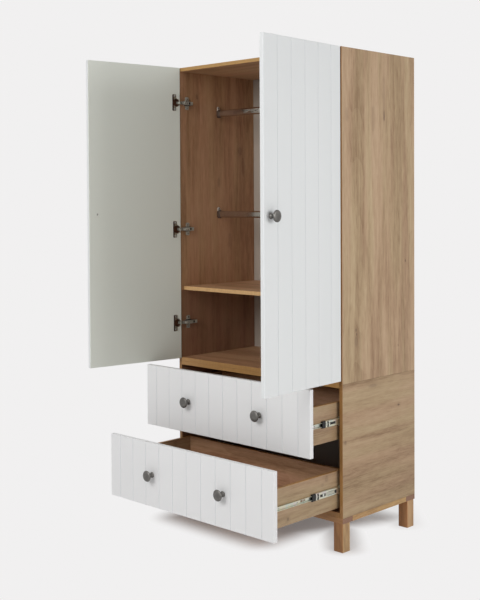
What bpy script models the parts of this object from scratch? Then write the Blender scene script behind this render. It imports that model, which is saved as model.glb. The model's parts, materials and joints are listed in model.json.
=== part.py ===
"""Wardrobe cupboard: two grooved doors over two drawers, on a flat base frame with square legs.

Metres, +Z up, with the floor at Z = 0. Every piece is drawn with doors and drawers shut: X runs
across the front from the centre line, and the carcass front is the plane Y = 0 with the inside
towards +Y. The pivots then open the doors and pull out the drawers. The whole cupboard stands a
little to the right, because its doors are open unequally and the origin lies below the middle.
"""
import math

import bmesh
import bpy
from mathutils import Matrix, Vector

# Gap between faces that touch
HAIR = 0.0003

# The centre line's place across the front
CENTRE_LINE = 0.018

# Carcass boards
WIDTH = 0.900
DEPTH = 0.468
UPPER_UNIT_HEIGHT = 1.2625
LOWER_UNIT_HEIGHT = 0.5065
SIDE_BOARD = 0.015
TOP_BOARD = 0.015
DIVIDER_BOARD = 0.016
BOTTOM_BOARD = 0.020
BACK_SHEET = 0.003
BACK_INSET = 0.0045
BACK_GROOVE_DEPTH = 0.006
BOARD_EDGE = 0.0006

# Shelf on its four pins
SHELF_BOARD = 0.016
SHELF_HEIGHT = 0.3069
SHELF_SETBACK = 0.0144
SHELF_PLAY = 0.0006
SHELF_PIN_RADIUS = 0.0025
SHELF_PIN_REACH = 0.009
SHELF_PIN_COLLAR = 0.0042
SHELF_PIN_COLLAR_THICK = 0.0012
SHELF_PIN_INSET = 0.060

# Base frame and legs
BASE_RAIL_THICK = 0.020
BASE_RAIL_WIDTH = 0.060
LEG_HEIGHT = 0.111
LEG_WIDTH = 0.044
LEG_INSET = 0.003
LEG_EDGE = 0.0015

# Doors
DOOR_BOARD = 0.016
DOOR_REVEAL = 0.0015
DOOR_MEETING_GAP = 0.003
DOOR_LIFT = 0.0125
DOOR_GAP = 0.004
FRONT_ROUND = 0.0016
DOOR_OPEN = {"left": math.radians(98.6), "right": math.radians(92.9)}

# V grooves, lined up from the doors down to the drawer fronts
GROOVE_PITCH = 0.078
GROOVE_WIDTH = 0.0032
GROOVE_DEPTH = 0.0018

# Knobs
KNOB_RADIUS = 0.0215
KNOB_FOOT_RADIUS = 0.0115
KNOB_FOOT_THICK = 0.0035
KNOB_NECK_RADIUS = 0.0078
KNOB_LENGTH = 0.0335
KNOB_HEAD_THICK = 0.011
DOOR_KNOB_INSET = 0.038
DRAWER_KNOB_SPREAD = 0.196

# Concealed hinges, in distances in from the outside of the cupboard and out from its front
HINGE_DROPS = {"top": 0.150, "middle": 0.693, "bottom": 1.096}
PIN_IN = 0.0103
PIN_OUT = 0.0126
PIN_RADIUS = 0.0015
EYE_RADIUS = 0.0026
CUP_RADIUS = 0.0172
CUP_WALL = 0.0010
CUP_DEPTH = 0.0130
CUP_FROM_EDGE = 0.021
CUP_RIM_RADIUS = 0.0184
CUP_FLANGE = 0.0011
CUP_WING_LENGTH = 0.0355
CUP_WING_WIDTH = 0.0186
CUP_WING_CHAMFER = 0.0030
PLATE_SETBACK = 0.0385
PLATE_LENGTH = 0.036
PLATE_WIDTH = 0.020
PLATE_WING = 0.0275
PLATE_WING_WIDTH = 0.020
PLATE_WING_CHAMFER = 0.0028
PLATE_THICK = 0.002
ARM_BACKS = {"top": 0.063, "middle": 0.065, "bottom": 0.081}
ARM_FRONT = 0.016
ARM_HALF_WIDTH = 0.0070
ARM_WALL = 0.0013
ARM_RISE = 0.0158
NECK_HALF_WIDTH = 0.0055
NECK_THICK = 0.0020
NECK_IN = 0.0265
NECK_CLEAR = 0.0014
NECK_BEND = 0.0040
NECK_ROOT = 0.0060

# Hanging rails and their sockets
RAIL_DROPS = {"upper": 0.184, "lower": 0.631}
RAIL_SETBACK = 0.2295
RAIL_HEIGHT = 0.030
RAIL_WIDTH = 0.015
SOCKET_WALL = 0.0028
SOCKET_REACH = 0.014
SOCKET_BASE = 0.0030
SOCKET_EAR_RISE = 0.0245
SOCKET_EAR_RADIUS = 0.0075

# Drawers
FRONT_BOARD = 0.018
FRONT_REVEAL = 0.0015
FRONT_GAP = 0.003
FRONT_SPACE = 0.008
FRONT_DROP = 0.001
BOX_DEPTH = 0.400
BOX_HEIGHT = 0.142
BOX_LIFT = 0.0365
BOX_SIDE = 0.012
BOX_BACK = 0.012
BOX_BOTTOM = 0.004
BOX_BOTTOM_LIFT = 0.010
BOX_GROOVE_DEPTH = 0.006
DRAWER_OUT = {"upper": 0.1644, "lower": 0.3609}

# Ball bearing runners between the drawer sides and the carcass
RUNNER_LENGTH = BOX_DEPTH
RUNNER_SETBACK = 0.003
RUNNER_SPACE = 0.0127
RUNNER_LIFT = 0.0715
RUNNER_STEEL = 0.0012
RUNNER_PLAY = 0.0004
RUNNER_BEND = 0.0014
RUNNER_SINK = 0.0001
CABINET_MEMBER_HEIGHT = 0.035
CABINET_MEMBER_REACH = 0.0095
MIDDLE_MEMBER_HEIGHT = 0.026
MIDDLE_MEMBER_START = 0.0024
MIDDLE_MEMBER_REACH = 0.0115
DRAWER_MEMBER_HEIGHT = 0.016
DRAWER_MEMBER_START = 0.0046
MIDDLE_SHARE = {"upper": 0.600, "lower": 0.437}
BUMPER_LENGTH = 0.0165
BUMPER_FLOOR = 0.0018

# Facets round a full turn
KNOB_STEPS = 24
CUP_STEPS = 24
PIN_STEPS = 12
EYE_STEPS = 16
WING_STEPS = 10
OVAL_STEPS = 8

# Heights and half widths that follow
BASE_TOP = LEG_HEIGHT + BASE_RAIL_THICK
JOINT_Z = BASE_TOP + LOWER_UNIT_HEIGHT
TOP_Z = JOINT_Z + UPPER_UNIT_HEIGHT
HALF = WIDTH / 2
INNER_HALF = HALF - SIDE_BOARD
FLOOR_TOP = JOINT_Z + DIVIDER_BOARD
SHELF_TOP = FLOOR_TOP + SHELF_HEIGHT
BACK_FACE = DEPTH - BACK_INSET - BACK_SHEET
DOOR_BOTTOM = JOINT_Z + DOOR_LIFT
DOOR_EDGE = HALF - DOOR_REVEAL
DOOR_WIDTH = DOOR_EDGE - DOOR_MEETING_GAP / 2
FRONT_HALF = HALF - FRONT_REVEAL
LOWEST_FRONT = BASE_TOP - FRONT_DROP
FRONT_HEIGHT = (DOOR_BOTTOM - LOWEST_FRONT) / 2 - FRONT_SPACE
BOX_HALF = INNER_HALF - RUNNER_SPACE
FRONT_BOTTOM = {"lower": LOWEST_FRONT, "upper": LOWEST_FRONT + FRONT_HEIGHT + FRONT_SPACE}
PIN_FROM_CUP_MIDDLE = HALF - DOOR_EDGE + CUP_FROM_EDGE - PIN_IN
CUP_HOLLOW = CUP_RADIUS - CUP_WALL
PIN_HALF_LENGTH = math.sqrt(CUP_HOLLOW ** 2 - PIN_FROM_CUP_MIDDLE ** 2) - CUP_WALL / 2
SIDES = {"left": -1, "right": 1}

# Finishes: colour, roughness, metallic
OAK = ((0.38, 0.27, 0.17), 0.55, 0.0)
OAK_DARK = ((0.22, 0.12, 0.06), 0.60, 0.0)
WHITE_LACQUER = ((0.80, 0.80, 0.79), 0.35, 0.0)
WHITE_BACK = ((0.62, 0.60, 0.57), 0.60, 0.0)
CHROME = ((0.80, 0.80, 0.80), 0.12, 1.0)
PEWTER = ((0.16, 0.15, 0.14), 0.35, 0.9)
NICKEL = ((0.45, 0.42, 0.37), 0.28, 1.0)
BRONZED = ((0.14, 0.09, 0.06), 0.35, 0.9)
ZINC = ((0.60, 0.61, 0.55), 0.35, 1.0)
STEEL = ((0.50, 0.50, 0.50), 0.35, 1.0)
BLACK_PLASTIC = ((0.02, 0.02, 0.025), 0.45, 0.0)


def clear_scene():
    for item in list(bpy.data.objects):
        bpy.data.objects.remove(item, do_unlink=True)


def make_material(name, finish):
    colour, roughness, metallic = finish
    material = bpy.data.materials.new(name)
    material.use_nodes = True
    shader = material.node_tree.nodes["Principled BSDF"]
    shader.inputs["Base Color"].default_value = (*colour, 1.0)
    shader.inputs["Roughness"].default_value = roughness
    shader.inputs["Metallic"].default_value = metallic
    return material


def make_pivot(name, home, turn=0.0, pull=0.0):
    """An empty on a joint's axis, turned and pulled to the pose the cupboard is shown in."""
    pivot = bpy.data.objects.new(name, None)
    bpy.context.scene.collection.objects.link(pivot)
    pivot["home"] = home
    pivot.location = Vector(home) + Vector((CENTRE_LINE, -pull, 0.0))
    pivot.rotation_euler = (0.0, 0.0, turn)
    return pivot


def add_object(name, bm, pivot):
    """Turns a bmesh drawn in the shut position into an object hung on its pivot."""
    bmesh.ops.recalc_face_normals(bm, faces=bm.faces)
    if pivot:
        bmesh.ops.translate(bm, verts=bm.verts, vec=-Vector(pivot["home"]))
    mesh = bpy.data.meshes.new(name)
    bm.to_mesh(mesh)
    bm.free()
    made = bpy.data.objects.new(name, mesh)
    bpy.context.scene.collection.objects.link(made)
    if pivot:
        made.parent = pivot
    else:
        made.location.x = CENTRE_LINE
    return made


def make_part(name, bm, finish, pivot=None, smooth=False):
    part = add_object(name, bm, pivot)
    part.data.materials.append(make_material(name, finish))
    if smooth:
        part.data.shade_smooth()
        part.data.set_sharp_from_angle(angle=math.radians(35))
    return part


def helper(part, name, bm, finish=None, smooth=False):
    """A hidden shape, hung where its part hangs, that is cut from the part or joined to it."""
    pivot = part.parent
    tool = add_object(f"{part.name}_{name}", bm, pivot)
    if finish:
        tool.data.materials.append(make_material(tool.name, finish))
    if smooth:
        tool.data.shade_smooth()
    tool.hide_render = True
    tool.display_type = "WIRE"
    return tool


def boolean(part, tool, operation):
    step = part.modifiers.new(tool.name, "BOOLEAN")
    step.operation = operation
    step.solver = "EXACT"
    step.material_mode = "TRANSFER"
    step.object = tool


def cut(part, name, bm, smooth=False):
    boolean(part, helper(part, name, bm, smooth=smooth), "DIFFERENCE")


def join(part, name, bm, finish, smooth=False):
    boolean(part, helper(part, name, bm, finish, smooth), "UNION")


def soften_edges(part, width, segments=1):
    step = part.modifiers.new("edges", "BEVEL")
    step.width = width
    step.segments = segments
    step.limit_method = "ANGLE"
    step.angle_limit = math.radians(60)


def add_block(bm, low, high):
    size = [b - a for a, b in zip(low, high)]
    middle = [(a + b) / 2 for a, b in zip(low, high)]
    place = Matrix.Translation(middle) @ Matrix.Diagonal((*size, 1.0))
    bmesh.ops.create_cube(bm, size=1.0, matrix=place)


def add_prism(bm, outline, along, start, end, place=None):
    """Sweeps an outline of two coordinates along the third axis."""
    run = "xyz".index(along)
    first, second = [axis for axis in range(3) if axis != run]
    corners = []
    for a, b in outline:
        point = [0.0, 0.0, 0.0]
        point[first] = a
        point[second] = b
        point[run] = start
        corners.append(bm.verts.new(point))
    base = bm.faces.new(corners)
    shift = Vector((0.0, 0.0, 0.0))
    shift[run] = end - start
    swept = bmesh.ops.extrude_face_region(bm, geom=[base])
    moved = [item for item in swept["geom"] if isinstance(item, bmesh.types.BMVert)]
    bmesh.ops.translate(bm, verts=moved, vec=shift)
    if place:
        bmesh.ops.transform(bm, matrix=place, verts=corners + moved)


def add_turned(bm, profile, place, steps):
    """Spins a profile of radius and height round the Z axis, then puts it in place."""
    line = [bm.verts.new((radius, 0.0, height)) for radius, height in profile]
    edges = [bm.edges.new(pair) for pair in zip(line, line[1:])]
    known = set(bm.verts) - set(line)
    bmesh.ops.spin(
        bm, geom=line + edges, cent=(0, 0, 0), axis=(0, 0, 1),
        angle=math.tau, steps=steps, use_merge=True,
    )
    made = [vert for vert in bm.verts if vert not in known]
    bmesh.ops.remove_doubles(bm, verts=made, dist=1e-6)
    made = [vert for vert in bm.verts if vert not in known]
    bmesh.ops.transform(bm, matrix=place, verts=made)


def add_rod(bm, radius, start, end, place, steps=PIN_STEPS):
    add_turned(bm, [(0, start), (radius, start), (radius, end), (0, end)], place, steps)


def across(x, y, z, side):
    """A frame whose Z axis runs from a side panel's inner face towards the middle."""
    turn = Matrix.Rotation(math.radians(-90 * side), 4, "Y")
    return Matrix.Translation((side * x, y, z)) @ turn


def outward(x, y, z):
    """A frame whose Z axis points out of the cupboard's front."""
    return Matrix.Translation((x, y, z)) @ Matrix.Rotation(math.radians(90), 4, "X")


def hinge_frame(side, z=0.0):
    """Coordinates in from the outside of the cupboard, out from its front, and up."""
    return Matrix((
        (-side, 0, 0, side * HALF),
        (0, -1, 0, 0),
        (0, 0, 1, z),
        (0, 0, 0, 1),
    ))


def runner_frame(side, z):
    """Coordinates in from the side panel's inner face, back, and up from the runner's middle."""
    return Matrix((
        (-side, 0, 0, side * INNER_HALF),
        (0, 1, 0, 0),
        (0, 0, 1, z),
        (0, 0, 0, 1),
    ))


def strip_outline(line, thick):
    """The outline of a strip of even thickness bent along a line, with mitred corners."""
    points = [Vector(point) for point in line]
    runs = [(b - a).normalized() for a, b in zip(points, points[1:])]
    left = []
    right = []
    for index, point in enumerate(points):
        before = runs[max(index - 1, 0)]
        after = runs[min(index, len(runs) - 1)]
        normal = Vector((-before.y - after.y, before.x + after.x)).normalized()
        reach = thick / 2 / normal.dot(Vector((-after.y, after.x)))
        left.append(point + normal * reach)
        right.append(point - normal * reach)
    return left + right[::-1]


def oval_outline(height, width, centre=(0.0, 0.0)):
    """Two half circles joined by straight sides, tall in its second coordinate."""
    radius = width / 2
    straight = (height - width) / 2
    outline = []
    for sign in (1, -1):
        for step in range(OVAL_STEPS + 1):
            angle = math.pi * step / OVAL_STEPS
            outline.append((
                centre[0] + sign * radius * math.cos(angle),
                centre[1] + sign * (straight + radius * math.sin(angle)),
            ))
    return outline


def board(name, low, high, finish=OAK):
    bm = bmesh.new()
    add_block(bm, low, high)
    part = make_part(name, bm, finish)
    soften_edges(part, BOARD_EDGE)
    return part


# Carcass

def side_panel(name, side, bottom, top):
    """A side board with the groove that holds the back sheet."""
    groove_front = BACK_FACE - HAIR
    groove_back = BACK_FACE + BACK_SHEET + HAIR
    groove_floor = INNER_HALF + BACK_GROOVE_DEPTH
    outline = [
        (side * HALF, 0.0),
        (side * HALF, DEPTH),
        (side * INNER_HALF, DEPTH),
        (side * INNER_HALF, groove_back),
        (side * groove_floor, groove_back),
        (side * groove_floor, groove_front),
        (side * INNER_HALF, groove_front),
        (side * INNER_HALF, 0.0),
    ]
    bm = bmesh.new()
    add_prism(bm, outline, "z", bottom, top)
    part = make_part(name, bm, OAK)
    soften_edges(part, BOARD_EDGE)
    return part


def top_panel():
    """The top board lies between the sides and is grooved below for the back sheet."""
    low = TOP_Z - TOP_BOARD
    groove_roof = low + BACK_GROOVE_DEPTH
    outline = [
        (0.0, TOP_Z),
        (DEPTH, TOP_Z),
        (DEPTH, low),
        (BACK_FACE + BACK_SHEET + HAIR, low),
        (BACK_FACE + BACK_SHEET + HAIR, groove_roof),
        (BACK_FACE - HAIR, groove_roof),
        (BACK_FACE - HAIR, low),
        (0.0, low),
    ]
    bm = bmesh.new()
    add_prism(bm, outline, "x", -INNER_HALF + HAIR, INNER_HALF - HAIR)
    part = make_part("top_panel", bm, OAK)
    soften_edges(part, BOARD_EDGE)
    return part


def level_board(name, bottom, top):
    reach = INNER_HALF - HAIR
    return board(name, (-reach, 0.0, bottom), (reach, BACK_FACE - HAIR, top))


def back_sheet(name, bottom, top):
    reach = INNER_HALF + BACK_GROOVE_DEPTH - HAIR
    low = (-reach, BACK_FACE, bottom)
    high = (reach, BACK_FACE + BACK_SHEET, top)
    bm = bmesh.new()
    add_block(bm, low, high)
    return make_part(name, bm, WHITE_BACK)


def add_shelf_pins(panel, side):
    """Two collared steel pins in the panel, on which the shelf lies."""
    height = SHELF_TOP - SHELF_BOARD - HAIR - SHELF_PIN_COLLAR
    profile = [
        (0, -SHELF_PIN_REACH),
        (SHELF_PIN_RADIUS, -SHELF_PIN_REACH),
        (SHELF_PIN_RADIUS, 0),
        (SHELF_PIN_COLLAR, 0),
        (SHELF_PIN_COLLAR, SHELF_PIN_COLLAR_THICK),
        (SHELF_PIN_RADIUS, SHELF_PIN_COLLAR_THICK),
        (SHELF_PIN_RADIUS, SHELF_PIN_REACH),
        (0, SHELF_PIN_REACH),
    ]
    pins = bmesh.new()
    for y in (SHELF_SETBACK + SHELF_PIN_INSET, BACK_FACE - SHELF_PIN_INSET):
        add_turned(pins, profile, across(INNER_HALF, y, height, side), PIN_STEPS)
    join(panel, "shelf_pins", pins, STEEL)


def carcass():
    """Two stacked boxes of boards: the hanging space above and the drawer space below."""
    for name, side in SIDES.items():
        panel = side_panel(f"side_upper_{name}", side, JOINT_Z + HAIR, TOP_Z)
        add_shelf_pins(panel, side)
        side_panel(f"side_lower_{name}", side, BASE_TOP, JOINT_Z)
    top_panel()
    level_board("upper_floor", JOINT_Z + HAIR, FLOOR_TOP)
    level_board("lower_top", JOINT_Z - DIVIDER_BOARD, JOINT_Z)
    level_board("bottom_panel", BASE_TOP, BASE_TOP + BOTTOM_BOARD)
    back_sheet("back_upper", JOINT_Z + HAIR, TOP_Z - TOP_BOARD + BACK_GROOVE_DEPTH - HAIR)
    back_sheet("back_lower", BASE_TOP, JOINT_Z)
    reach = INNER_HALF - SHELF_PLAY
    low = (-reach, SHELF_SETBACK, SHELF_TOP - SHELF_BOARD)
    board("shelf", low, (reach, BACK_FACE - SHELF_PLAY, SHELF_TOP))


# Base

def base_frame():
    """Four flat rails lying under the carcass: the front and back ones run the full width."""
    low = LEG_HEIGHT
    high = BASE_TOP - HAIR
    inner = BASE_RAIL_WIDTH
    board("base_rail_front", (-HALF, 0.0, low), (HALF, inner, high), OAK_DARK)
    board("base_rail_back", (-HALF, DEPTH - inner, low), (HALF, DEPTH, high), OAK_DARK)
    for name, side in SIDES.items():
        edges = sorted((side * HALF, side * (HALF - inner)))
        board(
            f"base_rail_{name}",
            (edges[0], inner + HAIR, low),
            (edges[1], DEPTH - inner - HAIR, high),
        )


def legs():
    """Square legs stand in from the corners of the frame."""
    fronts = {"front": LEG_INSET, "back": DEPTH - LEG_INSET - LEG_WIDTH}
    for row, front in fronts.items():
        for name, side in SIDES.items():
            outer = side * (HALF - LEG_INSET)
            edges = sorted((outer, outer - side * LEG_WIDTH))
            bm = bmesh.new()
            add_block(
                bm,
                (edges[0], front, 0.0),
                (edges[1], front + LEG_WIDTH, LEG_HEIGHT - HAIR),
            )
            leg = make_part(f"leg_{row}_{name}", bm, OAK)
            soften_edges(leg, LEG_EDGE)


# Hanging rails

def socket_base_outline(height):
    """A plate round the rail that narrows upwards to a round screw ear."""
    wide = RAIL_WIDTH / 2 + SOCKET_WALL
    straight = (RAIL_HEIGHT - RAIL_WIDTH) / 2
    outline = []
    for step in range(OVAL_STEPS + 1):
        angle = math.pi + math.pi * step / OVAL_STEPS
        outline.append((wide * math.cos(angle), -straight + wide * math.sin(angle)))
    outline.append((wide, straight))
    for step in range(OVAL_STEPS + 1):
        angle = math.pi * step / OVAL_STEPS
        outline.append((
            SOCKET_EAR_RADIUS * math.cos(angle),
            SOCKET_EAR_RISE + SOCKET_EAR_RADIUS * math.sin(angle),
        ))
    outline.append((-wide, straight))
    return [(RAIL_SETBACK + y, height + z) for y, z in outline]


def hanging_rail(name, drop):
    """An oval rail held at each end in the cup of a screwed socket."""
    reach = INNER_HALF - HAIR
    centre = (RAIL_SETBACK, TOP_Z - drop)
    rail = bmesh.new()
    add_prism(rail, oval_outline(RAIL_HEIGHT, RAIL_WIDTH, centre), "x", -reach, reach)
    plates = bmesh.new()
    cups = bmesh.new()
    body = oval_outline(RAIL_HEIGHT + 2 * SOCKET_WALL, RAIL_WIDTH + 2 * SOCKET_WALL, centre)
    for side in SIDES.values():
        seat = side * (reach - SOCKET_BASE)
        add_prism(plates, socket_base_outline(centre[1]), "x", side * reach, seat)
        add_prism(cups, body, "x", side * reach, side * (reach - SOCKET_REACH))
    part = make_part(f"hanging_rail_{name}", rail, CHROME, smooth=True)
    join(part, "plates", plates, CHROME, smooth=True)
    join(part, "cups", cups, CHROME, smooth=True)


# Grooved fronts

def grooved_board(name, low, high, pivot):
    """A lacquered board with rounded edges and V grooves in the face that points out of the front."""
    bm = bmesh.new()
    add_block(bm, low, high)
    part = make_part(name, bm, WHITE_LACQUER, pivot)
    soften_edges(part, FRONT_ROUND, 2)
    grooves = bmesh.new()
    first = math.ceil((low[0] + GROOVE_WIDTH * 2) / GROOVE_PITCH)
    last = math.floor((high[0] - GROOVE_WIDTH * 2) / GROOVE_PITCH)
    slope = GROOVE_WIDTH / 2 / GROOVE_DEPTH
    for index in range(first, last + 1):
        middle = index * GROOVE_PITCH
        mouth = slope * (GROOVE_DEPTH + FRONT_ROUND)
        outline = [
            (middle - mouth, low[1] - FRONT_ROUND),
            (middle, low[1] + GROOVE_DEPTH),
            (middle + mouth, low[1] - FRONT_ROUND),
        ]
        add_prism(grooves, outline, "z", low[2] - FRONT_ROUND, high[2] + FRONT_ROUND)
    cut(part, "grooves", grooves)
    return part


def knob_profile():
    """Foot, waisted neck and a mushroom head, as radius and distance out from the board."""
    head = KNOB_LENGTH - KNOB_HEAD_THICK
    return [
        (0, HAIR),
        (KNOB_FOOT_RADIUS, HAIR),
        (KNOB_FOOT_RADIUS, KNOB_FOOT_THICK * 0.6),
        (KNOB_FOOT_RADIUS * 0.85, KNOB_FOOT_THICK),
        (KNOB_NECK_RADIUS, head * 0.55),
        (KNOB_NECK_RADIUS * 1.2, head * 0.85),
        (KNOB_RADIUS * 0.86, head + KNOB_HEAD_THICK * 0.18),
        (KNOB_RADIUS * 0.97, head + KNOB_HEAD_THICK * 0.34),
        (KNOB_RADIUS, head + KNOB_HEAD_THICK * 0.5),
        (KNOB_RADIUS * 0.95, head + KNOB_HEAD_THICK * 0.72),
        (KNOB_RADIUS * 0.74, head + KNOB_HEAD_THICK * 0.92),
        (KNOB_RADIUS * 0.38, KNOB_LENGTH),
        (0, KNOB_LENGTH),
    ]


def add_knob(name, x, face, z, pivot):
    bm = bmesh.new()
    add_turned(bm, knob_profile(), outward(x, face, z), KNOB_STEPS)
    make_part(name, bm, PEWTER, pivot, smooth=True)


# Doors and hinges

def door(name, side, pivot):
    """A full overlay door with grooves outside and three cup bores inside."""
    meeting = side * DOOR_MEETING_GAP / 2
    left, right = sorted((meeting, side * DOOR_EDGE))
    low = (left, -DOOR_GAP - DOOR_BOARD, DOOR_BOTTOM)
    part = grooved_board(f"door_{name}", low, (right, -DOOR_GAP, TOP_Z), pivot)
    bores = bmesh.new()
    middle = side * (DOOR_EDGE - CUP_FROM_EDGE)
    for drop in HINGE_DROPS.values():
        place = outward(middle, -DOOR_GAP, TOP_Z - drop)
        add_rod(bores, CUP_RADIUS + HAIR, -DOOR_BOARD, CUP_DEPTH + HAIR, place, CUP_STEPS)
    cut(part, "cup_bores", bores, smooth=True)
    knob_x = side * (DOOR_EDGE - DOOR_WIDTH + DOOR_KNOB_INSET)
    knob_z = (DOOR_BOTTOM + TOP_Z) / 2
    add_knob(f"knob_door_{name}", knob_x, -DOOR_GAP - DOOR_BOARD, knob_z, pivot)


def flange_outline():
    """Half round the cup with a straight far side, and a tab above and below with cut corners."""
    near = HALF - DOOR_EDGE + CUP_FROM_EDGE
    far = near + CUP_WING_WIDTH
    within = (CUP_RIM_RADIUS + CUP_RADIUS) / 2
    outline = [
        (near, CUP_WING_LENGTH - CUP_WING_CHAMFER),
        (near + CUP_WING_CHAMFER, CUP_WING_LENGTH),
        (far - CUP_WING_CHAMFER, CUP_WING_LENGTH),
        (far, CUP_WING_LENGTH - CUP_WING_CHAMFER),
    ]
    outline += [(u, -z) for u, z in outline[::-1]]
    for step in range(WING_STEPS + 1):
        angle = math.pi * step / WING_STEPS
        outline.append((near + within * math.sin(angle), -within * math.cos(angle)))
    return outline


def hinge_cup(name, side, z, pivot):
    """A pressed cup sunk in the door, with a rim, a screwed flange and the hinge's pin."""
    inner = CUP_RADIUS - CUP_WALL
    rim = -HAIR - CUP_FLANGE
    profile = [
        (0, CUP_DEPTH),
        (CUP_RADIUS - CUP_WALL, CUP_DEPTH),
        (CUP_RADIUS, CUP_DEPTH - CUP_WALL),
        (CUP_RADIUS, -HAIR),
        (CUP_RIM_RADIUS, -HAIR),
        (CUP_RIM_RADIUS, rim),
        (inner, rim),
        (inner, CUP_DEPTH - CUP_WALL),
        (0, CUP_DEPTH - CUP_WALL),
    ]
    cup = bmesh.new()
    place = outward(side * (DOOR_EDGE - CUP_FROM_EDGE), -DOOR_GAP, z)
    add_turned(cup, profile, place, CUP_STEPS)
    part = make_part(name, cup, BRONZED, pivot, smooth=True)
    flange = bmesh.new()
    outer = DOOR_GAP - HAIR
    add_prism(flange, flange_outline(), "y", outer - CUP_FLANGE, outer, hinge_frame(side, z))
    join(part, "flange", flange, BRONZED)
    pin = bmesh.new()
    axis = hinge_frame(side, z) @ Matrix.Translation((PIN_IN, PIN_OUT, 0.0))
    add_rod(pin, PIN_RADIUS, -PIN_HALF_LENGTH, PIN_HALF_LENGTH, axis)
    join(part, "pin", pin, NICKEL, smooth=True)


def plate_outline():
    """A cross, long towards the back and with two upright wings for its screws."""
    half_length = PLATE_LENGTH / 2
    half_width = PLATE_WIDTH / 2
    half_wing = PLATE_WING_WIDTH / 2
    cross = [
        (-half_length, -half_width),
        (-half_wing, -half_width),
        (-half_wing, -PLATE_WING + PLATE_WING_CHAMFER),
        (-half_wing + PLATE_WING_CHAMFER, -PLATE_WING),
        (half_wing - PLATE_WING_CHAMFER, -PLATE_WING),
        (half_wing, -PLATE_WING + PLATE_WING_CHAMFER),
        (half_wing, -half_width),
        (half_length, -half_width),
    ]
    cross += [(v, -z) for v, z in cross[::-1]]
    return [(v - PLATE_SETBACK, z) for v, z in cross]


def arm_outline(back):
    """The channel over the plate, seen from above, rounded down at its two ends."""
    roof = SIDE_BOARD + ARM_RISE
    skirt = SIDE_BOARD + HAIR + PLATE_THICK / 2
    return [
        (skirt, -PLATE_SETBACK - PLATE_LENGTH / 2),
        (skirt + 2 * PLATE_THICK, -back),
        (roof - PLATE_THICK, -back),
        (roof, -back + PLATE_THICK),
        (roof, -ARM_FRONT),
        (roof - 2 * PLATE_THICK, -ARM_FRONT + PLATE_THICK),
        (skirt, -PLATE_SETBACK + PLATE_LENGTH / 2),
    ]


def neck_line():
    """From the channel's roof out past the door's corner, over into the cup, to the pin."""
    roof = SIDE_BOARD + ARM_RISE - ARM_WALL / 2
    top = PIN_OUT + NECK_CLEAR
    return [
        (roof, -ARM_FRONT - NECK_ROOT),
        (roof, -ARM_FRONT + NECK_BEND * 0.75),
        (NECK_IN + NECK_BEND * 0.2, -NECK_BEND * 1.25),
        (NECK_IN, 0.0),
        (NECK_IN, top - NECK_BEND),
        (NECK_IN - NECK_BEND * 0.3, top - NECK_BEND * 0.3),
        (NECK_IN - NECK_BEND, top),
        (PIN_IN + NECK_BEND * 0.925, top),
        (PIN_IN, PIN_OUT),
    ]


def hinge_arm(name, side, z, back):
    """A cross plate and channel on the side panel, with a goose neck that hooks onto the pin."""
    place = hinge_frame(side, z)
    axis = place @ Matrix.Translation((PIN_IN, PIN_OUT, 0.0))
    plate = bmesh.new()
    base = SIDE_BOARD + HAIR
    add_prism(plate, plate_outline(), "x", base, base + PLATE_THICK, place)
    arm = bmesh.new()
    add_prism(arm, arm_outline(back), "z", -ARM_HALF_WIDTH, ARM_HALF_WIDTH, place)
    channel = bmesh.new()
    floor = base + PLATE_THICK
    roof_inside = SIDE_BOARD + ARM_RISE - ARM_WALL
    hollow = [
        (floor, -2 * back),
        (roof_inside, -2 * back),
        (roof_inside, 0.0),
        (floor, 0.0),
    ]
    gap = ARM_HALF_WIDTH - ARM_WALL
    add_prism(channel, hollow, "z", -gap, gap, place)
    neck = bmesh.new()
    strip = strip_outline(neck_line(), NECK_THICK)
    add_prism(neck, strip, "z", -NECK_HALF_WIDTH, NECK_HALF_WIDTH, place)
    eye = bmesh.new()
    add_rod(eye, EYE_RADIUS, -NECK_HALF_WIDTH, NECK_HALF_WIDTH, axis, EYE_STEPS)
    bore = bmesh.new()
    add_rod(bore, PIN_RADIUS + HAIR, -2 * NECK_HALF_WIDTH, 2 * NECK_HALF_WIDTH, axis)
    part = make_part(name, arm, NICKEL)
    cut(part, "channel", channel)
    join(part, "plate", plate, NICKEL)
    join(part, "neck", neck, NICKEL)
    join(part, "eye", eye, NICKEL, smooth=True)
    cut(part, "pin_bore", bore, smooth=True)


def hung_door(name, side):
    """One door on three hinges: arms on the side panel, cups and pins in the door."""
    home = (side * (HALF - PIN_IN), -PIN_OUT, DOOR_BOTTOM)
    pivot = make_pivot(f"door_pivot_{name}", home, side * DOOR_OPEN[name])
    door(name, side, pivot)
    for place, drop in HINGE_DROPS.items():
        hinge_cup(f"hinge_cup_{name}_{place}", side, TOP_Z - drop, pivot)
        hinge_arm(f"hinge_arm_{name}_{place}", side, TOP_Z - drop, ARM_BACKS[place])


# Runners

def channel_line(web, reach, height, lip):
    """Half way through the steel of a channel whose two lips turn in towards the middle."""
    high = height / 2 - RUNNER_STEEL / 2
    bend = math.copysign(RUNNER_BEND, reach - web)
    upper = [
        (reach, lip),
        (reach, high - RUNNER_BEND),
        (reach - bend, high),
        (web + bend, high),
        (web, high - RUNNER_BEND),
    ]
    return upper + [(p, -q) for p, q in upper[::-1]]


def cabinet_member_outline():
    half = RUNNER_STEEL / 2
    lip = MIDDLE_MEMBER_HEIGHT / 2 + RUNNER_PLAY
    line = channel_line(HAIR + half, CABINET_MEMBER_REACH - half, CABINET_MEMBER_HEIGHT, lip)
    return strip_outline(line, RUNNER_STEEL)


def middle_member_outline():
    half = RUNNER_STEEL / 2
    lip = DRAWER_MEMBER_HEIGHT / 2 + RUNNER_PLAY
    line = channel_line(
        MIDDLE_MEMBER_START + half, MIDDLE_MEMBER_REACH - half, MIDDLE_MEMBER_HEIGHT, lip
    )
    return strip_outline(line, RUNNER_STEEL)


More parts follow.
